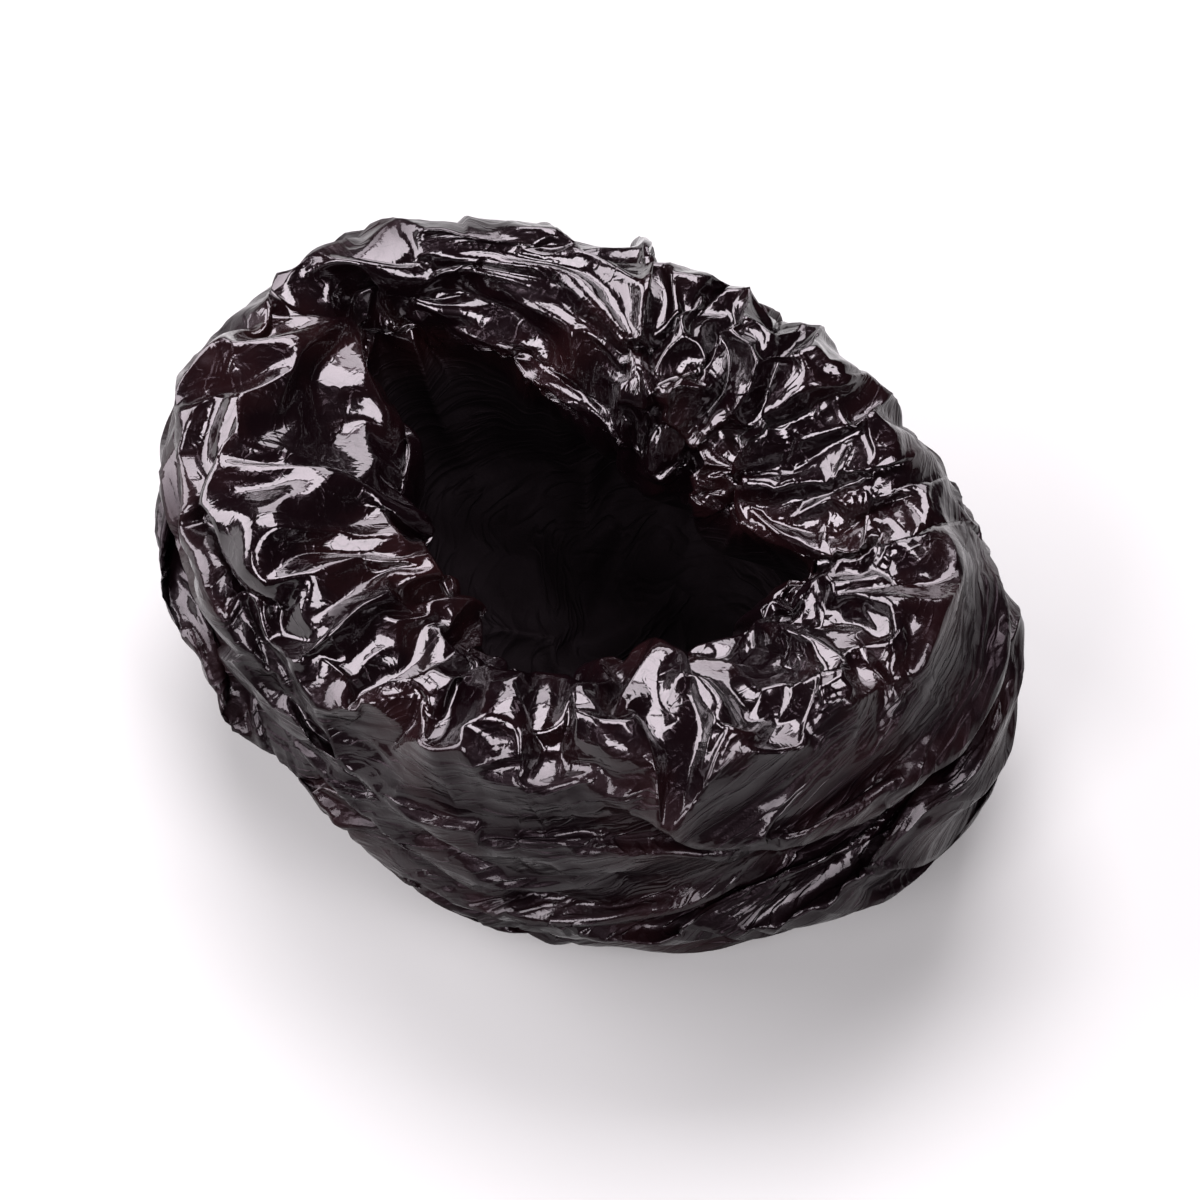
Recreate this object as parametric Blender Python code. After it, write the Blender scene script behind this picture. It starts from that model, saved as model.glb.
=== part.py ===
"""A pitted prune: one dried plum, lying on its underside with its pit cavity open upwards.

The fruit is one piece, so it is one solid. Its form is a loft of closed rings, from the middle of the
underside, out round the flank, over the rim, past the lip and down to the cavity's floor. The dried skin's
folds are then raised from that form along its normals: gathers across the rim, long folds round the flank,
one deep crease in it, and a star of creases under the base. The middle of the underside is pressed flat.
Metres, +Z up, the origin on the ground under the middle of the fruit.
"""

import math

import bmesh
import bpy
import numpy as np
from mathutils import Vector, noise

MM = 0.001

# Driving dimensions, in millimetres and degrees
LONG_DIAMETER = 34.8
SHORT_DIAMETER = 27.5
LONG_AXIS_ANGLE = -30.0
HEIGHT = 15.7
LEAN = (-0.55, 0.2)
LIP_CENTRE = (-0.6, 0.2)
LIP_RADIUS = 7.9
WELL_CENTRE = (-0.6, 0.4)
WELL_RADIUS = 8.4
FOOT_RADIUS = 6.0

# What makes each outline uneven: millimetres added, at which angle, over what half width in degrees
FLANK_SWELLINGS = (
    (-1.9, 58, 30), (-0.4, 18, 16), (0.3, 165, 20), (-1.0, 212, 26), (0.5, -25, 13), (-0.4, -46, 14),
)
LIP_SWELLINGS = ((6.6, 128, 20), (4.0, -7, 11), (1.9, -38, 26), (-2.8, 62, 40), (-1.8, 208, 22))
WELL_SWELLINGS = ((2.0, 130, 28), (1.4, -6, 24))

# What makes the rim's height uneven, as shares of it, and how much fuller the shoulder is at one side
CREST_SWELLINGS = ((0.05, -75, 45), (-0.06, 131, 24), (0.04, 190, 30), (-0.05, 0, 26), (-0.09, 232, 34))
SHOULDER_SWELLINGS = ((0.07, -132, 48),)

# Each ring of the loft: which outline it takes (0 the flank's, 1 the lip's, 2 the well's, with blends
# between), its size as a share of that outline, and its height as a share of HEIGHT
RINGS = (
    (0.00, 0.00, -0.020),
    (0.00, 0.36, -0.002),
    (0.00, 0.66, 0.045),
    (0.00, 0.88, 0.140),
    (0.00, 0.99, 0.285),
    (0.00, 1.03, 0.490),
    (0.00, 1.02, 0.720),
    (0.00, 0.98, 0.920),
    (0.10, 0.95, 1.040),
    (0.30, 0.97, 1.060),
    (0.60, 1.00, 1.000),
    (0.86, 1.03, 0.910),
    (1.00, 0.98, 0.810),
    (1.40, 0.99, 0.660),
    (2.00, 1.00, 0.490),
    (2.00, 0.90, 0.325),
    (2.00, 0.52, 0.245),
    (2.00, 0.00, 0.240),
)

# Between which rings of the loft one stretch of it gives way to the next
UNDER_ENDS = (2.4, 4.0)
FLANK_ENDS = (7.0, 8.4)
RIM_STARTS = (6.8, 8.3)
FLOOR_STARTS = (12.7, 14.5)
CREST = 8.6

# Each family of folds: its height in millimetres, how many it has round the fruit, its length along the
# loft in rings, where in the noise it is read, how far the slow drift bends it, in radians round the fruit
# and in rings along the loft, and how far it turns from ring to ring, in radians
GATHERS = (1.25, 21.0, 3.4, 3.7, 0.30, 0.0, 0.07)
CROSS_FOLDS = (0.60, 8.0, 1.7, 30.2, 0.0, 1.2, 0.0)
LONG_FOLDS = (1.20, 7.0, 1.25, 8.1, 0.4, 0.8, 0.0)
STAR = (0.60, 13.0, 2.4, 12.9, 0.30, 0.0, 0.07)
PLEATS = (0.60, 14.0, 2.2, 21.3, 0.30, 0.0, 0.07)

# The slow drift's noise: how far round the fruit and how far along the loft it is stretched
DRIFT_RADIUS = 1.2
DRIFT_ALONG = 0.35

# How steeply a fold falls from its ridge line, and how round its top is
FOLD_SLOPE = 2.4
FOLD_ROUNDING = 0.1

# The one deep crease, low on the front right of the flank, with a swollen lobe under it. Its place and
# widths along the loft are in rings.
CREASE_ANGLE = -48.0
CREASE_HALF_WIDTH = 24.0
CREASE_RING = 5.7
CREASE_SLANT = 0.022
CREASE_DEPTH = 1.5
CREASE_WIDTH = 0.42
LOBE_HEIGHT = 0.7
LOBE_WIDTH = 0.6
LOBE_BELOW = 0.96

# Squares along each edge of the cube that is blown up into the fruit
GRID = 30

# Between which rings the vertices lie closer, between which they lie wider, and by what share
CLOSER_FROM = (4.0, 7.5)
CLOSER_TO = (12.5, 14.5)
WIDER_TO = (2.0, 4.5)
CLOSER_SHARE = 0.35

# How finely the loft is sampled to find its area: steps along it and round it
AREA_STEPS = (341, 73)

# How far each vertex is drawn towards its neighbours once the folds are raised
SOFTENING = 0.4

SKIN_COLOUR = (0.016, 0.008, 0.009, 1.0)
SKIN_ROUGHNESS = 0.3


def smooth_step(low, high, value):
    """0 below low, 1 above high and a smooth rise between them."""
    share = np.clip((value - low) / (high - low), 0.0, 1.0)
    return share * share * (3.0 - 2.0 * share)


def turn_from(angle, centre_deg):
    """The angle from a centre, in degrees between -180 and 180."""
    return np.degrees(np.angle(np.exp(1j * (angle - math.radians(centre_deg)))))


def swell(angle, swellings):
    """The sum of rounded bumps, each an amount at an angle with a half width."""
    return sum(amount * np.exp(-((turn_from(angle, at) / width) ** 2)) for amount, at, width in swellings)


def about(centre, radius, angle):
    return np.stack([centre[0] + radius * np.cos(angle), centre[1] + radius * np.sin(angle)], axis=-1)


def flank_outline(angle):
    """The plan outline: an oval, its long axis turned to the front right, flatter at the back right."""
    turn = angle - math.radians(LONG_AXIS_ANGLE)
    long_share = np.cos(turn) / (0.5 * LONG_DIAMETER)
    short_share = np.sin(turn) / (0.5 * SHORT_DIAMETER)
    radius = 1.0 / np.hypot(long_share, short_share)
    return about((0.0, 0.0), radius + swell(angle, FLANK_SWELLINGS), angle)


def lip_outline(angle):
    """The opening's outline: a triangle with round corners, at the back left, right and front."""
    return about(LIP_CENTRE, LIP_RADIUS + swell(angle, LIP_SWELLINGS), angle)


def well_outline(angle):
    """The cavity's outline below the lip: rounder than the opening."""
    return about(WELL_CENTRE, WELL_RADIUS + swell(angle, WELL_SWELLINGS), angle)


def ring_points(angle):
    """Where each ring of the loft lies at the given angles, as an array of rings by angles by xyz."""
    outlines = (flank_outline(angle), lip_outline(angle), well_outline(angle))
    centres = (np.zeros(2), np.array(LIP_CENTRE), np.array(WELL_CENTRE))
    rings = []
    for kind, size, height in RINGS:
        first = min(int(kind), 1)
        share = kind - first
        plan = (1 - share) * outlines[first] + share * outlines[first + 1]
        centre = (1 - share) * centres[first] + share * centres[first + 1]
        shoulder = max(1.0 - kind, 0.0) * smooth_step(0.5, 0.9, height)
        fuller = size * (1.0 + shoulder * swell(angle, SHOULDER_SWELLINGS))
        plan = centre + fuller[:, None] * (plan - centre) + np.array(LEAN) * height
        lift = 1.0 + swell(angle, CREST_SWELLINGS) * smooth_step(0.4, 0.95, height)
        rings.append(np.concatenate([plan, (HEIGHT * height * lift)[:, None]], axis=-1))
    return np.array(rings)


def spline_weights(place):
    """The cubic B-spline weight of each ring, and of one beyond each end, at places along the loft."""
    first = np.minimum(place.astype(int), len(RINGS) - 2)
    t = place - first
    basis = (
        (1 - t) ** 3 / 6,
        (3 * t**3 - 6 * t**2 + 4) / 6,
        (-3 * t**3 + 3 * t**2 + 3 * t + 1) / 6,
        t**3 / 6,
    )
    weights = np.zeros((len(RINGS) + 2, len(place)))
    columns = np.arange(len(place))
    for step, weight in enumerate(basis):
        weights[first + step, columns] += weight
    return weights


def loft(place, angle):
    """The smooth form's points, in millimetres, at each place along the loft and angle round it."""
    rings = ring_points(angle)
    opposite = ring_points(angle + math.pi)
    through = np.concatenate([opposite[1:2], rings, opposite[-2:-1]])
    return np.einsum("rn,rnk->nk", spline_weights(place), through)


def even_place(share):
    """The place along the loft that has this share of the vertices behind it, with more round the rim."""
    place = np.linspace(0, len(RINGS) - 1, AREA_STEPS[0])
    angle = np.linspace(0, 2 * math.pi, AREA_STEPS[1])
    grid = loft(np.repeat(place, len(angle)), np.tile(angle, len(place))).reshape(*AREA_STEPS, 3)
    along = grid[1:, :-1] - grid[:-1, :-1]
    around = grid[:-1, 1:] - grid[:-1, :-1]
    bands = np.linalg.norm(np.cross(along, around), axis=-1).sum(axis=1)
    middle = 0.5 * (place[1:] + place[:-1])
    rim = smooth_step(*CLOSER_FROM, middle) * (1 - smooth_step(*CLOSER_TO, middle))
    under = 1 - smooth_step(*WIDER_TO, middle)
    behind = np.concatenate([[0.0], np.cumsum(bands * (1.0 + CLOSER_SHARE * (rim - under)))])
    return np.interp(share, behind / behind[-1], place)


def noise_at(x, y, z):
    return np.array([noise.noise(Vector(where)) for where in zip(x, y, z)])


def ridges(family, place, angle, drift):
    """A family's ridge lines: its height along their crests, falling off to 0 between them."""
    height, count_round, length, seed, sway, slide, twist = family
    radius = count_round / (2 * math.pi)
    turned = angle + sway * drift + twist * (place - CREST)
    along = (place + slide * drift) / length + seed
    level = noise_at(radius * np.cos(turned), radius * np.sin(turned), along)
    return height * (1.0 - np.minimum(np.hypot(FOLD_SLOPE * level, FOLD_ROUNDING), 1.0))


def crease(place, angle):
    offset = place - (CREASE_RING + CREASE_SLANT * turn_from(angle, CREASE_ANGLE))
    groove = CREASE_DEPTH * np.exp(-((offset / CREASE_WIDTH) ** 2))
    lobe = LOBE_HEIGHT * np.exp(-(((offset + LOBE_BELOW) / LOBE_WIDTH) ** 2))
    return swell(angle, ((1.0, CREASE_ANGLE, CREASE_HALF_WIDTH),)) * (lobe - groove)


def relief(place, angle):
    """How far the folds raise the skin, in millimetres."""
    drift = noise_at(DRIFT_RADIUS * np.cos(angle), DRIFT_RADIUS * np.sin(angle), DRIFT_ALONG * place)
    under = 1 - smooth_step(*UNDER_ENDS, place)
    flank = (1 - under) * (1 - smooth_step(*FLANK_ENDS, place))
    floor = smooth_step(*FLOOR_STARTS, place)
    rim = smooth_step(*RIM_STARTS, place) * (1 - floor)
    across_rim = ridges(GATHERS, place, angle, drift) + ridges(CROSS_FOLDS, place, angle, drift)
    round_flank = ridges(LONG_FOLDS, place, angle, drift) + crease(place, angle)
    return (
        rim * across_rim
        + flank * round_flank
        + under * ridges(STAR, place, angle, drift)
        + floor * ridges(PLEATS, place, angle, drift)
    )


def blown_cube():
    """A cube whose faces are grids of squares, blown up to a unit sphere with even spacing."""
    form = bmesh.new()
    bmesh.ops.create_cube(form, size=2.0)
    bmesh.ops.subdivide_edges(form, edges=form.edges[:], cuts=GRID - 1, use_grid_fill=True)
    for vertex in form.verts:
        vertex.co = Vector([math.tan(0.25 * math.pi * c) for c in vertex.co]).normalized()
    return form


def raise_folds(form, place, angle):
    """Move each vertex out along its normal, less and less towards the foot's middle."""
    form.normal_update()
    from_middle = np.array([math.hypot(vertex.co.x, vertex.co.y) for vertex in form.verts])
    foot = (place < UNDER_ENDS[1]) * (1 - smooth_step(0.7 * FOOT_RADIUS, 1.3 * FOOT_RADIUS, from_middle))
    for vertex, height in zip(form.verts, relief(place, angle) * (1 - foot)):
        vertex.co = vertex.co + vertex.normal * float(height)
    bmesh.ops.smooth_vert(
        form, verts=form.verts, factor=SOFTENING, use_axis_x=True, use_axis_y=True, use_axis_z=True
    )


def settle(form):
    """Press the foot flat on the ground, put the middle over the origin and turn to metres."""
    xs = [vertex.co.x for vertex in form.verts]
    ys = [vertex.co.y for vertex in form.verts]
    middle = Vector((0.5 * (min(xs) + max(xs)), 0.5 * (min(ys) + max(ys)), 0.0))
    for vertex in form.verts:
        vertex.co.z = max(vertex.co.z, 0.0)
        vertex.co = (vertex.co - middle) * MM


def make_fruit():
    """The prune's mesh: the blown cube wrapped round the loft, its folds raised, set on the ground."""
    form = blown_cube()
    sphere = np.array([vertex.co for vertex in form.verts])
    angle = np.arctan2(sphere[:, 1], sphere[:, 0])
    place = even_place(0.5 * (1.0 + sphere[:, 2]))
    for vertex, point in zip(form.verts, loft(place, angle)):
        vertex.co = Vector(point)
    raise_folds(form, place, angle)
    settle(form)
    mesh = bpy.data.meshes.new("prune")
    form.to_mesh(mesh)
    form.free()
    mesh.shade_smooth()
    return mesh


def skin_material():
    material = bpy.data.materials.new("prune_skin")
    material.use_nodes = True
    shader = material.node_tree.nodes["Principled BSDF"]
    shader.inputs["Base Color"].default_value = SKIN_COLOUR
    shader.inputs["Roughness"].default_value = SKIN_ROUGHNESS
    shader.inputs["Metallic"].default_value = 0.0
    return material


def main():
    for old in list(bpy.data.objects):
        bpy.data.objects.remove(old)
    parts = bpy.data.collections.new("prune")
    bpy.context.scene.collection.children.link(parts)
    fruit = bpy.data.objects.new("prune", make_fruit())
    fruit.data.materials.append(skin_material())
    parts.objects.link(fruit)


main()
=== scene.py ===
"""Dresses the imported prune: the finely wrinkled skin over its plain solid, and the studio round it.

The skin starts as the node's own mesh. Its vertices are spread evenly over the form, then the skin is let
grow a little larger than the form that it covers, so that it buckles into folds as a drying skin does. That
is done at three sizes: each time the mesh is divided, the folds that follow are half as wide. After each
size the facets between the ridges are flattened. Lengths are in millimetres for the skin and its material,
up to the point where they are made, and in metres for the studio.
"""

import math

import bmesh
import bpy
import numpy as np
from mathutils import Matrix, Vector, noise
from mathutils.bvhtree import BVHTree


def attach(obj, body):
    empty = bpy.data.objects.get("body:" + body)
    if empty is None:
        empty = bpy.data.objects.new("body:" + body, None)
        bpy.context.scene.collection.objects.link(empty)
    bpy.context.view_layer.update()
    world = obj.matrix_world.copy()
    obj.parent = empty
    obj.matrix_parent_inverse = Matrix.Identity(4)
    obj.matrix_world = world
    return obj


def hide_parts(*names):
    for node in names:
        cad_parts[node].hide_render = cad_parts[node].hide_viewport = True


MM = 0.001
F32 = np.float32

# What a length is held above, so that nothing is divided by 0
TINY = 1e-9

# The node's vertices that are nearer to each other than this become one, in metres
WELD_DISTANCE = 1e-7

# How far apart the noise is read for one seed and the next
SEED_SHIFT = (17.3, 5.1, 9.7)

# The middle of the opening, which the folds of the rim run towards
MOUTH = (-0.6, 0.2)

# The ring that the rim is measured round: its radius about the mouth, its height and its half thickness
RING_RADIUS = 10.0
RING_HEIGHT = 8.0
RING_THICKNESS = 6.5

# How the first mesh is spread: how often its vertices slide, what share of the way to their neighbours'
# middle, and how dense it is to be, with what the rim and the flank add
SPREAD_ROUNDS = 40
SPREAD_STEP = 0.6
PLAIN_DENSITY = 0.35
RIM_DENSITY = 1.0
FLANK_DENSITY = 0.6

# How a mesh is divided, by Loop's weights: what a new vertex takes of each end of its edge and of the corners
# opposite it, and how far an old one is pulled to the mean of its neighbours, also where they are only three
LOOP_END = 0.375
LOOP_OPPOSITE = 0.125
LOOP_PULL = 0.375
LOOP_PULL_OF_THREE = 0.5625

# The sides of the rim, each by the turn of its middle and by how far round it reaches, in degrees
SIDES = {"left": (180.0, 36.0), "corner": (137.0, 16.0), "far": (102.0, 24.0), "far_right": (48.0, 30.0),
         "right": (-12.0, 36.0), "front": (-85.0, 36.0), "front_left": (-138.0, 26.0)}

# The inner part of a side as a region of its own: that side, and how far the form leans where it starts
INNER_PARTS = {"shelf": ("front", 85.0), "slope": ("far", 84.0)}
INNER_BLEND = 20.0
RIM = (*SIDES, *INNER_PARTS, "lip")

# The sides whose flank lies in long level bands; the rest of the flank is crumpled both ways
BANDED_SIDES = ("front", "right", "front_left", "left")

# How far the folds of each side are slanted from running straight up to the mouth, in degrees
SLANTS = {"far": 40.0, "slope": 46.0, "far_right": 15.0, "corner": 15.0}

# The form's lean in degrees: 0 faces out from the mouth, 90 up, 180 in and -90 down. Its angles go up from
# the least one, and it is read from a form that has been averaged this often.
LEAST_LEAN = -120.0
LEAN_ROUNDS = 4

# The lean at which the calmer flank gives way to the folded rim, on each side
RIM_STARTS = {"left": 0.0, "corner": 45.0, "far": 5.0, "far_right": 5.0, "right": 38.0, "front": 22.0,
              "front_left": -2.0}
RIM_BLEND = 30.0

# The leans, heights and distances from the mouth's middle at which the other regions start and are full. The
# cavity's wall and the lip lie above the base.
LIP_LEANS = (155.0, 172.0)
UNDER_LEANS = (-35.0, -60.0)
WALL_LEANS = (110.0, 140.0)
WALL_HEIGHTS = (12.0, 10.8)
BOTTOM_LEANS = (40.0, 60.0)
BOTTOM_HEIGHTS = (9.0, 7.5)
BOTTOM_REACHES = (11.5, 10.0)
BASE_HEIGHT = 3.0

# How much each region of the skin grows, at the three sizes of fold, the largest first: as shares of its
# length round the fruit and up it
GROWTH = {
    "left": ((0.26, 0.12), (0.12, 0.09), (0.05, 0.04)),
    "corner": ((-0.04, 0.28), (0.00, 0.16), (0.02, 0.04)),
    "far": ((0.16, -0.05), (0.30, -0.06), (0.05, 0.00)),
    "slope": ((0.42, -0.14), (0.26, -0.12), (0.05, -0.02)),
    "far_right": ((0.14, 0.08), (0.22, 0.14), (0.12, 0.10)),
    "right": ((0.10, 0.05), (0.20, 0.12), (0.16, 0.14)),
    "front": ((0.18, 0.04), (0.11, 0.05), (0.05, 0.04)),
    "front_left": ((0.24, 0.08), (0.13, 0.09), (0.06, 0.04)),
    "shelf": ((0.18, 0.08), (0.06, 0.05), (0.03, 0.03)),
    "lip": ((0.06, 0.00), (0.12, 0.02), (0.18, 0.04)),
    "flank": ((-0.03, 0.20), (-0.01, 0.26), (0.06, 0.20)),
    "far_flank": ((0.07, 0.12), (0.10, 0.14), (0.08, 0.14)),
    "under": ((0.06, 0.04), (0.05, 0.04), (0.04, 0.04)),
    "well": ((0.02, 0.01), (0.02, 0.01), (0.02, 0.01)),
}

# How the skin buckles at each of those sizes: bend resists sharp folds, hold_out and hold_in resist leaving
# the form, limit_out and limit_in are the most that the skin may stand off it, steps is how often it moves,
# and kick is how uneven it is at the start
LEVELS = (
    {"bend": 0.012, "hold_out": 0.006, "hold_in": 0.014, "limit_out": 0.75, "limit_in": 0.35, "steps": 260,
     "kick": 0.02},
    {"bend": 0.008, "hold_out": 0.004, "hold_in": 0.010, "limit_out": 0.50, "limit_in": 0.35, "steps": 280,
     "kick": 0.01},
    {"bend": 0.010, "hold_out": 0.005, "hold_in": 0.012, "limit_out": 0.28, "limit_in": 0.16, "steps": 220,
     "kick": 0.004},
)

# The growth is uneven: the size of its patches at each of those sizes, and the least and most that it is
# multiplied by in them
PATCH_SIZES = (6.0, 4.0, 2.5)
PATCH_RANGE = (0.3, 1.7)

# How much less room the lip has to stand off the form, and how the skin resists sliding along it
LIP_TIGHTER = 0.65
HOLD_SIDE = 0.0004

# How a vertex moves at each step: what it keeps of its speed, and what the force adds
MOMENTUM = 0.9
RATE = 0.14

# How often the folds' random start is averaged, and how often the normals that they stand up along
KICK_ROUNDS = 3
UPRIGHT_ROUNDS = 2

# How often the facets are flattened at each size, and how unlike two may be and still be flattened together
FLAT_ROUNDS = (2, 5, 8)
FACET_SPREAD = 0.32

# The skin's colour: a dark one with warmer patches, and in the cavity the flesh's colour, painted nearly
# black as painted shade for the deep hole. Here and below, a range says where in a noise something starts
# and where it is full.
SKIN_DARK = (0.0024, 0.0009, 0.0014, 1.0)
SKIN_WARM = (0.0090, 0.0030, 0.0033, 1.0)
FLESH_WITH_PAINTED_SHADE = (0.0008, 0.0004, 0.0005, 1.0)
TONE_SIZE = 5.0
TONE_RANGE = (0.48, 0.72)
SPECULAR_LEVEL = 0.10
SPECULAR_TINT = (1.0, 0.82, 0.92, 1.0)

# The skin's own roughness under the syrup: on the rim, on the flank, in the cavity, and how far it varies
GLOSS_ROUGHNESS = 0.20
SATIN_ROUGHNESS = 0.36
FLESH_ROUGHNESS = 0.75
MOTTLE_SIZE = 1.6
MOTTLE_RANGE = (0.3, 0.7)
MOTTLE_ROUGHNESS = (-0.06, 0.08)

# The flank's long layers: how the coordinates are turned, in radians, and stretched to follow them
STRATA_TURN = (0.0, -0.35, 0.0)
STRATA_STRETCH = (2.9, 2.9, 0.45)

# The syrup is a clear coat: whole on the rim, in streaks on the flank and missing in the cavity
COAT_ROUGHNESS = 0.06
STREAK_SIZE = 1.6
STREAK_RANGE = (0.38, 0.62)
STREAK_COAT = (0.06, 0.46)

# How much of the fine relief shows in the syrup, which fills the finest lines: on the rim and on the flank
RIM_COAT_RELIEF = 0.28
FLANK_COAT_RELIEF = 0.40

# Families of thin ridge lines, by the size of the noise that they follow, how wide they are as a share of its
# range, and their height. All share that noise's detail and how far it wanders.
RIM_CREASES = ((1.5, 0.05, 0.0165), (0.7, 0.07, 0.00825))
FLANK_CREASES = ((1.2, 0.06, 0.0462), (2.6, 0.20, 0.1188))
PLEATS = ((1.1, 0.20, 0.033), (0.55, 0.20, 0.0165))
CREASE_DETAIL = 1.5
CREASE_WANDER = 0.6

# The pleats are stretched across the rim and lie in patches
PLEAT_STRETCH = (1.0, 1.0, 0.3)
PLEAT_PATCH_SIZE = 2.2
PLEAT_PATCH_RANGE = (0.42, 0.58)

# The grain, and what share of it the rim has
GRAIN_SIZE = 0.11
GRAIN_HEIGHT = 0.016
RIM_GRAIN = 0.1

# The pits, their radius as a share of their spacing, the patches that they lie in, and the rim's share
PIT_SPACING = 0.55
PIT_RADIUS = 0.45
PIT_DEPTH = 0.05
PIT_PATCH_SIZE = 2.6
PIT_PATCH_RANGE = (0.54, 0.66)
RIM_PITS = 0.3

# The studio: a floor of this half width in metres, and a room that is dim in reflections but seen as white
FLOOR_HALF = 1.5
FLOOR_COLOUR = (0.390, 0.413, 0.393, 1.0)
FLOOR_ROUGHNESS = 0.8
ROOM_COLOUR = (1.0, 1.0, 1.0, 1.0)
ROOM_LIGHT = 0.015
BACKDROP_LIGHT = 1.0

# Soft lights: place, width and depth in metres, power in watts
LIGHTS = {
    "overhead": ((0.00, 0.22, 0.40), (0.32, 0.24), 3.2),
    "back": ((0.04, 0.44, 0.28), (0.40, 0.18), 1.7),
    "left": ((-0.36, 0.09, 0.20), (0.32, 0.26), 3.0),
    "front_left": ((-0.24, -0.36, 0.42), (0.22, 0.22), 2.5),
    "front_right": ((0.28, -0.29, 0.40), (0.22, 0.26), 2.5),
}
LIGHT_COLOUR = (1.0, 0.905, 0.98)
LIGHT_TARGET = (0.0, 0.0, 0.01)

# The camera: its angles in degrees, its lens and sensor in millimetres, and in metres the width that it sees
# at its target, that place and how near it sees
CAMERA_AZIMUTH = 0.0
CAMERA_ELEVATION = 60.0
CAMERA_LENS = 350.0
SENSOR = 36.0
VIEW_WIDTH = 0.050
CAMERA_TARGET = (0.0005, 0.0, 0.0085)
NEAREST_SEEN = 0.01


def smooth_step(low, high, value):
    """0 below low, 1 above high and a smooth rise between them, or the reverse where low is the higher."""
    share = np.clip((value - low) / (high - low), 0.0, 1.0)
    return share * share * (3.0 - 2.0 * share)


def unit(vectors):
    return vectors / np.maximum(np.linalg.norm(vectors, axis=1, keepdims=True), TINY)


class Around:
    """Each vertex's neighbours: one column of them for each place round the vertex, padded with itself."""

    def __init__(self, faces, count):
        ends = np.concatenate([faces[:, [0, 1]], faces[:, [1, 2]], faces[:, [2, 0]]])
        ends = np.concatenate([ends, ends[:, ::-1]]).astype(np.int64)
        keys = np.unique(ends[:, 0] * count + ends[:, 1])
        start = keys // count
        self.valence = np.bincount(start, minlength=count)
        first = np.concatenate([[0], np.cumsum(self.valence)[:-1]])
        rank = np.arange(len(start)) - first[start]
        places = self.valence.max()
        table = np.repeat(np.arange(count)[:, None], places, axis=1)
        table[start, rank] = keys % count
        self.columns = [np.ascontiguousarray(column) for column in table.T]
        self.real = [place < self.valence for place in range(places)]
        self.padding = (places - self.valence).astype(F32)[:, None]
        self.share = (1.0 / self.valence).astype(F32)[:, None]

    def mean(self, values):
        """The mean of each vertex's neighbours."""
        total = sum(values[column] for column in self.columns)
        return (total - self.padding * values) * self.share

    def averaged(self, values, rounds):
        for _ in range(rounds):
            values = 0.5 * values + 0.5 * self.mean(values)
        return values


def sum_at_corners(faces, vectors, count):
    """For each vertex, the sum of one vector for each face that it is a corner of."""
    total = np.zeros((count, 3))
    for corner in faces.T:
        for axis in range(3):
            total[:, axis] += np.bincount(corner, weights=vectors[:, axis], minlength=count)
    return total


def face_vectors(points, faces):
    """Each face's normal, as long as twice its area."""
    a, b, c = (points[corner] for corner in faces.T)
    return np.cross(b - a, c - a)


def vertex_normals(points, faces):
    return unit(sum_at_corners(faces, face_vectors(points, faces), len(points)))


def noise_at(points, size, seed):
    """Smooth noise from about -1 to 1, with features of this size."""
    shift = Vector(SEED_SHIFT) * seed
    return np.array([noise.noise(Vector(point) / size + shift) for point in points])


def edge_numbers(faces):
    """Each face's three edges as numbers that its neighbours share."""
    after = faces[:, [1, 2, 0]]
    low = np.minimum(faces, after).astype(np.int64)
    high = np.maximum(faces, after)
    return low * (int(faces.max()) + 1) + high


def subdivided(values, faces):
    """Loop's subdivision of a triangle mesh, for any values kept at its vertices."""
    count = len(values)
    unique, edge = np.unique(edge_numbers(faces).ravel(), return_inverse=True)
    edge = edge.reshape(faces.shape)
    ends = np.stack([unique // count, unique % count], axis=1)
    opposite = np.zeros((len(unique), values.shape[1]))
    for side, corner in ((0, 2), (1, 0), (2, 1)):
        np.add.at(opposite, edge[:, side], values[faces[:, corner]])
    middle = LOOP_END * (values[ends[:, 0]] + values[ends[:, 1]]) + LOOP_OPPOSITE * opposite
    around = Around(faces, count)
    pull = np.where(around.valence == 3, LOOP_PULL_OF_THREE, LOOP_PULL)[:, None]
    old = (1.0 - pull) * values + pull * around.mean(values)
    a, b, c = faces.T
    ab, bc, ca = (edge + count).T
    smaller = ((a, ab, ca), (ab, b, bc), (ca, bc, c), (ab, bc, ca))
    return np.concatenate([old, middle]), np.concatenate([np.stack(corners, axis=1) for corners in smaller])


def plain_form(node):
    """The node's mesh in millimetres, welded and in triangles of a good shape."""
    work = bmesh.new()
    work.from_mesh(node.data)
    bmesh.ops.remove_doubles(work, verts=work.verts, dist=WELD_DISTANCE)
    bmesh.ops.triangulate(work, faces=work.faces)
    bmesh.ops.beautify_fill(work, faces=work.faces, edges=work.edges)
    points = np.array([vertex.co for vertex in work.verts]) / MM
    faces = np.array([[corner.index for corner in face.verts] for face in work.faces])
    work.free()
    return points, faces


def turn_from(turn, centre_deg):
    """The angle from a centre, in degrees between -180 and 180."""
    return (np.degrees(turn) - centre_deg + 180.0) % 360.0 - 180.0


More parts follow.
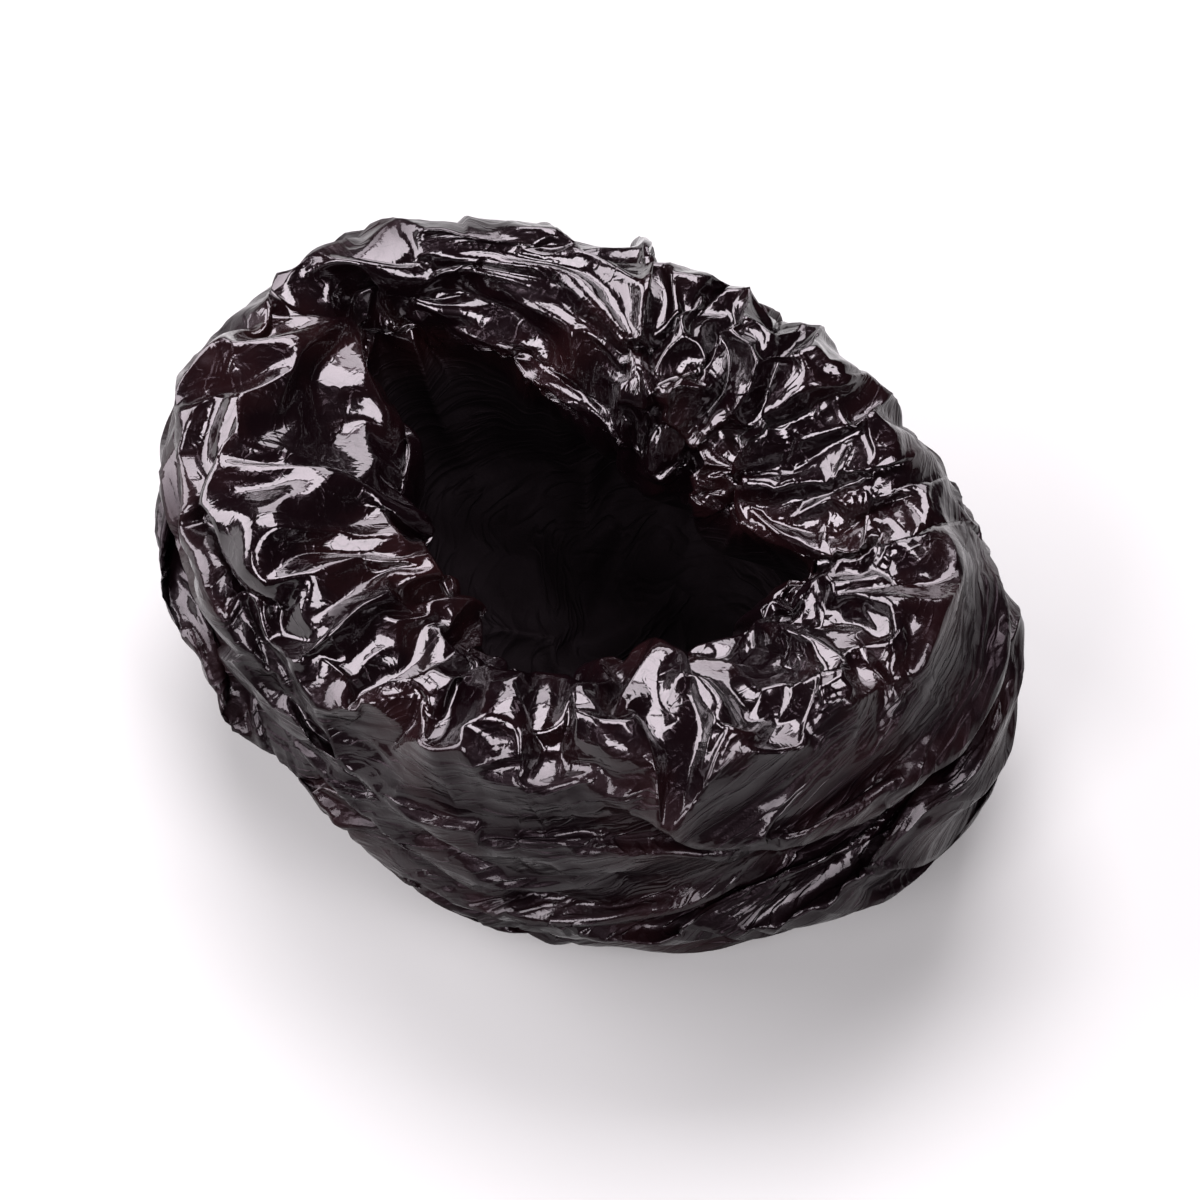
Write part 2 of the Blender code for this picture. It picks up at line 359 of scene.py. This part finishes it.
def regions(points, faces):
    """How far each vertex belongs to each region of the skin."""
    around = Around(faces, len(points))
    normal = vertex_normals(around.averaged(points, LEAN_ROUNDS), faces)
    arm = points[:, :2] - MOUTH
    reach = np.linalg.norm(arm, axis=1)
    arm = unit(arm)
    turn = np.arctan2(arm[:, 1], arm[:, 0])
    outward = (arm * normal[:, :2]).sum(axis=1)
    lean = (np.degrees(np.arctan2(normal[:, 2], outward)) - LEAST_LEAN) % 360.0 + LEAST_LEAN
    height = points[:, 2]
    above_base = height > BASE_HEIGHT
    wall = smooth_step(*WALL_LEANS, lean) * smooth_step(*WALL_HEIGHTS, height) * above_base
    bottom = smooth_step(*BOTTOM_HEIGHTS, height) * smooth_step(*BOTTOM_REACHES, reach)
    bottom = bottom * smooth_step(*BOTTOM_LEANS, lean)
    well = np.maximum(wall, bottom)
    sides = {name: np.exp(-((turn_from(turn, middle) / side_reach) ** 2))
             for name, (middle, side_reach) in SIDES.items()}
    total = sum(sides.values())
    sides = {name: side / total for name, side in sides.items()}
    rim_start = sum(RIM_STARTS[name] * side for name, side in sides.items())
    rim = smooth_step(rim_start, rim_start + RIM_BLEND, lean) * (1.0 - well)
    lip = smooth_step(*LIP_LEANS, lean) * above_base * (1.0 - well)
    region = {name: side * rim * (1.0 - lip) for name, side in sides.items()}
    for name, (side, start) in INNER_PARTS.items():
        inner = smooth_step(start, start + INNER_BLEND, lean)
        region[name] = region[side] * inner
        region[side] = region[side] * (1.0 - inner)
    region["lip"] = lip
    region["under"] = smooth_step(*UNDER_LEANS, lean)
    region["well"] = well
    flank = np.clip(1.0 - rim - region["under"] - well, 0.0, 1.0)
    banded = sum(sides[name] for name in BANDED_SIDES)
    region["flank"] = flank * banded
    region["far_flank"] = flank * (1.0 - banded)
    return region


def spread(points, faces):
    """Slides the vertices over the form until they lie evenly, closer on the rim and the flank."""
    tree = BVHTree.FromPolygons([Vector(point) for point in points], faces.tolist())
    around = Around(faces, len(points))
    region = regions(points, faces)
    density = PLAIN_DENSITY + FLANK_DENSITY * (region["flank"] + region["far_flank"])
    density += RIM_DENSITY * sum(region[name] for name in RIM)
    weight = density[:, None]
    for _ in range(SPREAD_ROUNDS):
        towards = around.mean(points * weight) / around.mean(weight)
        normal = vertex_normals(points, faces)
        slide = towards - points
        slide -= (slide * normal).sum(axis=1, keepdims=True) * normal
        points = points + SPREAD_STEP * slide
        points = np.array([tree.find_nearest(Vector(point))[0] for point in points])
    return points


def slant_of(region):
    return sum(degrees * region[name] for name, degrees in SLANTS.items())


def pleat_places(points, region):
    """Coordinates for the finest pleats: two that follow the turn round the mouth and one across the rim.

    The third is measured round the rim's own section, as if that were a ring's. The pleats keep the slant
    of the folds that they lie on.
    """
    arm = points[:, :2] - MOUTH
    reach = np.linalg.norm(arm, axis=1)
    across = np.arctan2(points[:, 2] - RING_HEIGHT, reach - RING_RADIUS) * RING_THICKNESS
    turn = np.arctan2(arm[:, 1], arm[:, 0]) + np.tan(np.radians(slant_of(region))) * across / RING_RADIUS
    return np.stack([RING_RADIUS * np.cos(turn), RING_RADIUS * np.sin(turn), across], axis=1)


def growth(points, region, level, way):
    """The extra skin at each vertex, uneven so that calmer patches stay between the folds."""
    patch = np.clip(1.0 + noise_at(points, PATCH_SIZES[level], 2 * level + way), *PATCH_RANGE)
    return patch * sum(shares[level][way] * region[name] for name, shares in GROWTH.items())


def natural_lengths(rest, around, round_way, grown_round, grown_up):
    """The length that each edge would like to have once the skin has grown."""
    lengths = []
    for column, real in zip(around.columns, around.real):
        along_edge = rest[column] - rest
        size = np.sqrt((along_edge * along_edge).sum(axis=1))
        along = (along_edge * round_way).sum(axis=1)
        across = np.sqrt(np.maximum(size**2 - along**2, 0.0))
        more_round = 1.0 + 0.5 * (grown_round + grown_round[column])
        more_up = 1.0 + 0.5 * (grown_up + grown_up[column])
        grown = np.sqrt((along * more_round) ** 2 + (across * more_up) ** 2)
        lengths.append(np.where(real, grown, 1.0).astype(F32))
    return lengths


def first_kick(count, around, seed, size):
    """The slight unevenness that the folds start from."""
    start = np.random.default_rng(seed).standard_normal(count)
    start = around.averaged(start[:, None], KICK_ROUNDS)[:, 0]
    return np.abs(start / start.std()) * size


def way_round(points, normal, slant):
    """The direction round the mouth along the skin, turned up towards the mouth by the slant in degrees."""
    way = np.stack([MOUTH[1] - points[:, 1], points[:, 0] - MOUTH[0], np.zeros(len(points))], axis=1)
    way = unit(way - (way * normal).sum(axis=1, keepdims=True) * normal)
    turn = np.radians(slant)[:, None]
    return np.cos(turn) * way + np.sin(turn) * np.cross(normal, way)


def buckled(points, faces, grown_round, grown_up, slant, room, seed, bend, hold_out, hold_in, limit_out,
            limit_in, steps, kick):
    """The skin after it has grown, found by letting its vertices move until the forces on them settle.

    Each edge is a spring of its grown length. The skin resists bending, and is held softly to the form
    under it, more firmly inwards than outwards. It stays above the ground.
    """
    around = Around(faces, len(points))
    rest = points.astype(F32)
    normal = unit(around.averaged(vertex_normals(points, faces), UPRIGHT_ROUNDS))
    round_way = way_round(points, normal, slant).astype(F32)
    lengths = natural_lengths(rest, around, round_way, grown_round, grown_up)
    normal = normal.astype(F32)
    real = [known.astype(F32) for known in around.real]
    highest = (limit_out * room).astype(F32)
    lowest = (-limit_in * room).astype(F32)
    move = normal * first_kick(len(points), around, seed, kick).astype(F32)[:, None]
    speed = np.zeros_like(move)
    for _ in range(steps):
        here = rest + move
        force = np.zeros_like(here)
        for column, known, length in zip(around.columns, real, lengths):
            edge = here[column] - here
            size = np.sqrt(np.einsum("ij,ij->i", edge, edge)) + F32(TINY)
            force += edge * (known * (1.0 - length / size))[:, None]
        curve = around.mean(move) - move
        force -= F32(bend) * (around.mean(curve) - curve)
        height = np.einsum("ij,ij->i", move, normal)[:, None]
        upright = height * normal
        force -= np.where(height > 0.0, F32(hold_out), F32(hold_in)) * upright
        force -= F32(HOLD_SIDE) * (move - upright)
        speed = F32(MOMENTUM) * speed + F32(RATE) * force
        move = move + speed
        height = np.einsum("ij,ij->i", move, normal)
        over = np.clip(height, lowest, highest) - height
        move = move + over[:, None] * normal
        sunk = rest[:, 2] + move[:, 2] < 0.0
        move[sunk, 2] = -rest[sunk, 2]
    return (rest + move).astype(np.float64)


def faces_across(faces):
    """For each face, the three faces on the other side of its edges."""
    order = np.argsort(edge_numbers(faces).ravel(), kind="stable").reshape(-1, 2)
    across = np.empty(faces.size, dtype=np.int64)
    across[order[:, 0]] = order[:, 1] // 3
    across[order[:, 1]] = order[:, 0] // 3
    return across.reshape(-1, 3)


def faceted(points, faces, rounds):
    """Flattens each facet and sharpens the ridges between facets."""
    across = faces_across(faces)
    vectors = face_vectors(points, faces)
    area = np.linalg.norm(vectors, axis=1, keepdims=True)
    normal = vectors / area
    for _ in range(rounds):
        total = normal * area
        for other in across.T:
            unlike = ((normal - normal[other]) ** 2).sum(axis=1, keepdims=True)
            total = total + normal[other] * area[other] * np.exp(-unlike / (2.0 * FACET_SPREAD**2))
        normal = unit(total)
    count = np.bincount(faces.ravel(), minlength=len(points))[:, None]
    for _ in range(2 * rounds):
        centre = points[faces].mean(axis=1)
        shift = np.zeros_like(points)
        for corner in faces.T:
            off = (normal * (centre - points[corner])).sum(axis=1)[:, None] * normal
            for axis in range(3):
                shift[:, axis] += np.bincount(corner, weights=off[:, axis], minlength=len(points))
        points = points + shift / count
    return points


def fitted(points, low, high):
    """Scales the skin a little so that its box is the form's own box."""
    now_low = points.min(axis=0)
    now_high = points.max(axis=0)
    return low + (points - now_low) / (now_high - now_low) * (high - low)


def wrinkled_skin(node):
    """The skin's points and faces, and the shares and pleat coordinates that its material reads."""
    points, faces = plain_form(node)
    low = points.min(axis=0)
    high = points.max(axis=0)
    points = spread(points, faces)
    region = regions(points, faces)
    for level, settings in enumerate(LEVELS):
        if level:
            both = np.column_stack([points, *region.values()])
            both, faces = subdivided(both, faces)
            points = both[:, :3]
            region = dict(zip(region, both[:, 3:].T))
        grown = [growth(points, region, level, way) for way in (0, 1)]
        room = 1.0 - LIP_TIGHTER * region["lip"]
        points = buckled(points, faces, *grown, slant_of(region), room, level + 1, **settings)
        points = faceted(points, faces, FLAT_ROUNDS[level])
    shares = {"rim": sum(region[name] for name in RIM), "well": region["well"]}
    return fitted(points, low, high), faces, shares, pleat_places(points, region)


def make_skin(node):
    points, faces, shares, pleats = wrinkled_skin(node)
    mesh = bpy.data.meshes.new("prune_skin")
    mesh.from_pydata((points * MM).tolist(), [], faces.tolist())
    mesh.shade_smooth()
    for name, values in shares.items():
        mesh.attributes.new(name, "FLOAT", "POINT").data.foreach_set("value", values.astype(F32))
    places = mesh.attributes.new("pleats", "FLOAT_VECTOR", "POINT")
    places.data.foreach_set("vector", (pleats * MM).astype(F32).ravel())
    skin = bpy.data.objects.new("prune_skin", mesh)
    bpy.context.scene.collection.objects.link(skin)
    mesh.materials.append(skin_material())
    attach(skin, "root")
    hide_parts(node.name)
    return skin


class Nodes:
    """Short ways to add a material's nodes and join them."""

    def __init__(self, name):
        self.material = bpy.data.materials.new(name)
        self.material.use_nodes = True
        self.tree = self.material.node_tree
        self.shader = self.tree.nodes["Principled BSDF"]

    def put(self, socket, value):
        if isinstance(value, bpy.types.NodeSocket):
            self.tree.links.new(value, socket)
        else:
            socket.default_value = value

    def add(self, kind, out=0, settings=None, **inputs):
        made = self.tree.nodes.new(kind)
        for name, value in (settings or {}).items():
            setattr(made, name, value)
        for name, value in inputs.items():
            self.put(made.inputs[name.replace("_", " ")], value)
        return made.outputs[out]

    def math(self, operation, first, second=0.0):
        made = self.tree.nodes.new("ShaderNodeMath")
        made.operation = operation
        self.put(made.inputs[0], first)
        self.put(made.inputs[1], second)
        return made.outputs[0]

    def blend(self, share, first, second):
        """A number between two others."""
        return self.add("ShaderNodeMapRange", Value=share, To_Min=first, To_Max=second)

    def ramp(self, value, start, to=(0.0, 1.0)):
        """A number that goes between the two in to while the value goes between the two in start."""
        return self.add("ShaderNodeMapRange", Value=value, From_Min=start[0], From_Max=start[1], To_Min=to[0],
                        To_Max=to[1])

    def colours(self, share, first, second):
        """A colour between two others."""
        made = self.tree.nodes.new("ShaderNodeMix")
        made.data_type = "RGBA"
        self.put(made.inputs[0], share)
        self.put(made.inputs[6], first)
        self.put(made.inputs[7], second)
        return made.outputs[2]

    def direction(self, share, first, second):
        """A direction between two others."""
        made = self.tree.nodes.new("ShaderNodeMix")
        made.data_type = "VECTOR"
        self.put(made.inputs[0], share)
        self.put(made.inputs[4], first)
        self.put(made.inputs[5], second)
        even = self.add("ShaderNodeVectorMath", settings={"operation": "NORMALIZE"})
        self.put(even.node.inputs[0], made.outputs[1])
        return even

    def noise(self, where, size, detail=2.0, distortion=0.0):
        return self.add("ShaderNodeTexNoise", Vector=where, Scale=1.0 / (size * MM), Detail=detail,
                        Distortion=distortion)

    def attribute(self, name, out="Fac"):
        return self.add("ShaderNodeAttribute", out=out, settings={"attribute_name": name})

    def scaled(self, vector, scale):
        made = self.add("ShaderNodeVectorMath", settings={"operation": "MULTIPLY"})
        self.put(made.node.inputs[0], vector)
        made.node.inputs[1].default_value = scale
        return made


def skin_colour(nodes, where, well):
    tone = nodes.ramp(nodes.noise(where, TONE_SIZE, detail=4.0), TONE_RANGE)
    # In the cavity the colour is darkened to nearly black: painted shade of the deep hole over the flesh
    return nodes.colours(well, nodes.colours(tone, SKIN_DARK, SKIN_WARM), FLESH_WITH_PAINTED_SHADE)


def skin_roughness(nodes, where, off_rim, well):
    mottle = nodes.ramp(nodes.noise(where, MOTTLE_SIZE, detail=3.0), MOTTLE_RANGE, MOTTLE_ROUGHNESS)
    outside = nodes.blend(off_rim, GLOSS_ROUGHNESS, SATIN_ROUGHNESS)
    return nodes.math("ADD", nodes.blend(well, outside, FLESH_ROUGHNESS), mottle)


def syrup(nodes, strata, rim, well):
    """How much of the skin lies under the syrup's clear coat."""
    streaks = nodes.ramp(nodes.noise(strata, STREAK_SIZE), STREAK_RANGE, STREAK_COAT)
    outside = nodes.math("SUBTRACT", 1.0, well)
    return nodes.math("MULTIPLY", outside, nodes.blend(rim, streaks, 1.0))


def creases(nodes, where, family):
    """The height of a family of thin ridge lines, which run where a noise crosses its middle."""
    total = 0.0
    for size, width, height in family:
        field = nodes.noise(where, size, CREASE_DETAIL, CREASE_WANDER)
        off = nodes.math("ABSOLUTE", nodes.math("SUBTRACT", field, 0.5))
        total = nodes.math("ADD", total, nodes.ramp(off, (0.0, width), (height, 0.0)))
    return total


def pits(nodes, where, off_rim):
    """The height of small round dents, which lie in patches."""
    cells = nodes.add("ShaderNodeTexVoronoi", Vector=where, Scale=1.0 / (PIT_SPACING * MM))
    dents = nodes.ramp(cells, (0.0, PIT_RADIUS), (-PIT_DEPTH, 0.0))
    patch = nodes.ramp(nodes.noise(where, PIT_PATCH_SIZE, detail=3.0), PIT_PATCH_RANGE)
    return nodes.math("MULTIPLY", dents, nodes.math("MULTIPLY", patch, nodes.blend(off_rim, RIM_PITS, 1.0)))


def skin_relief(nodes, where, strata, off_rim):
    """The height of all the relief that is finer than the mesh."""
    places = nodes.scaled(nodes.attribute("pleats", out="Vector"), PLEAT_STRETCH)
    patch = nodes.ramp(nodes.noise(where, PLEAT_PATCH_SIZE, detail=1.0), PLEAT_PATCH_RANGE)
    pleats = nodes.math("MULTIPLY", creases(nodes, places, PLEATS), patch)
    on_rim = nodes.math("ADD", creases(nodes, where, RIM_CREASES), pleats)
    lines = nodes.blend(off_rim, on_rim, creases(nodes, strata, FLANK_CREASES))
    grain_height = nodes.blend(off_rim, RIM_GRAIN * GRAIN_HEIGHT, GRAIN_HEIGHT)
    grain = nodes.math("MULTIPLY", nodes.noise(where, GRAIN_SIZE), grain_height)
    return nodes.math("ADD", nodes.math("ADD", lines, grain), pits(nodes, where, off_rim))


def skin_material():
    nodes = Nodes("prune_skin")
    where = nodes.add("ShaderNodeTexCoord", out="Object")
    strata = nodes.add("ShaderNodeMapping", settings={"vector_type": "TEXTURE"}, Vector=where,
                       Rotation=STRATA_TURN, Scale=STRATA_STRETCH)
    rim = nodes.attribute("rim")
    well = nodes.attribute("well")
    off_rim = nodes.math("SUBTRACT", 1.0, rim)
    height = skin_relief(nodes, where, strata, off_rim)
    bumpy = nodes.add("ShaderNodeBump", Strength=1.0, Distance=MM, Height=height)
    plain = nodes.add("ShaderNodeNewGeometry", out="Normal")
    coat_relief = nodes.blend(off_rim, RIM_COAT_RELIEF, FLANK_COAT_RELIEF)
    sockets = nodes.shader.inputs
    sockets["Specular IOR Level"].default_value = SPECULAR_LEVEL
    sockets["Specular Tint"].default_value = SPECULAR_TINT
    sockets["Coat Roughness"].default_value = COAT_ROUGHNESS
    nodes.put(sockets["Base Color"], skin_colour(nodes, where, well))
    nodes.put(sockets["Roughness"], skin_roughness(nodes, where, off_rim, well))
    nodes.put(sockets["Coat Weight"], syrup(nodes, strata, rim, well))
    nodes.put(sockets["Normal"], bumpy)
    nodes.put(sockets["Coat Normal"], nodes.direction(coat_relief, plain, bumpy))
    return nodes.material


def make_floor():
    corners = [(x * FLOOR_HALF, y * FLOOR_HALF, 0.0) for x, y in ((-1, -1), (1, -1), (1, 1), (-1, 1))]
    mesh = bpy.data.meshes.new("floor")
    mesh.from_pydata(corners, [], [(0, 1, 2, 3)])
    floor = bpy.data.objects.new("floor", mesh)
    bpy.context.scene.collection.objects.link(floor)
    nodes = Nodes("floor")
    nodes.shader.inputs["Base Color"].default_value = FLOOR_COLOUR
    nodes.shader.inputs["Roughness"].default_value = FLOOR_ROUGHNESS
    mesh.materials.append(nodes.material)


def make_room():
    """A dim room for the reflections, seen as a plain white backdrop past the floor's edge."""
    world = bpy.data.worlds.new("room")
    world.use_nodes = True
    bpy.context.scene.world = world
    tree = world.node_tree
    rays = tree.nodes.new("ShaderNodeLightPath")
    strength = tree.nodes.new("ShaderNodeMapRange")
    strength.inputs["To Min"].default_value = ROOM_LIGHT
    strength.inputs["To Max"].default_value = BACKDROP_LIGHT
    tree.links.new(rays.outputs["Is Camera Ray"], strength.inputs["Value"])
    background = tree.nodes["Background"]
    background.inputs["Color"].default_value = ROOM_COLOUR
    tree.links.new(strength.outputs["Result"], background.inputs["Strength"])


def make_light(name, place, size, power):
    light = bpy.data.lights.new(name, "AREA")
    light.shape = "RECTANGLE"
    light.size, light.size_y = size
    light.energy = power
    light.color = LIGHT_COLOUR
    lamp = bpy.data.objects.new(name, light)
    lamp.location = place
    lamp.rotation_euler = (Vector(LIGHT_TARGET) - Vector(place)).to_track_quat("-Z", "Y").to_euler()
    lamp.visible_camera = False
    bpy.context.scene.collection.objects.link(lamp)


def make_camera():
    azimuth = math.radians(CAMERA_AZIMUTH)
    elevation = math.radians(CAMERA_ELEVATION)
    back = Vector((math.sin(azimuth) * math.cos(elevation), -math.cos(azimuth) * math.cos(elevation),
                   math.sin(elevation)))
    lens = bpy.data.cameras.new("camera")
    lens.lens = CAMERA_LENS
    lens.sensor_width = SENSOR
    lens.clip_start = NEAREST_SEEN
    camera = bpy.data.objects.new("camera", lens)
    camera.location = Vector(CAMERA_TARGET) + back * (VIEW_WIDTH * CAMERA_LENS / SENSOR)
    camera.rotation_euler = (-back).to_track_quat("-Z", "Y").to_euler()
    bpy.context.scene.collection.objects.link(camera)
    bpy.context.scene.camera = camera


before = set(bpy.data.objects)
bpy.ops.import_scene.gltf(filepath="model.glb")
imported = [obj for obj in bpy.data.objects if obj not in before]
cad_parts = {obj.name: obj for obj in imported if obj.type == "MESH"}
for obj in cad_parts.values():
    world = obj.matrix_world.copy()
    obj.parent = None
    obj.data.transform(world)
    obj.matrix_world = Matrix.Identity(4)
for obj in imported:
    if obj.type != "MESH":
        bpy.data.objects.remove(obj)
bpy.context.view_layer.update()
bpy.context.scene.view_settings.view_transform = "Standard"
make_skin(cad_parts["prune"])
make_floor()
make_room()
for light_name, (place, size, power) in LIGHTS.items():
    make_light(light_name, place, size, power)
make_camera()
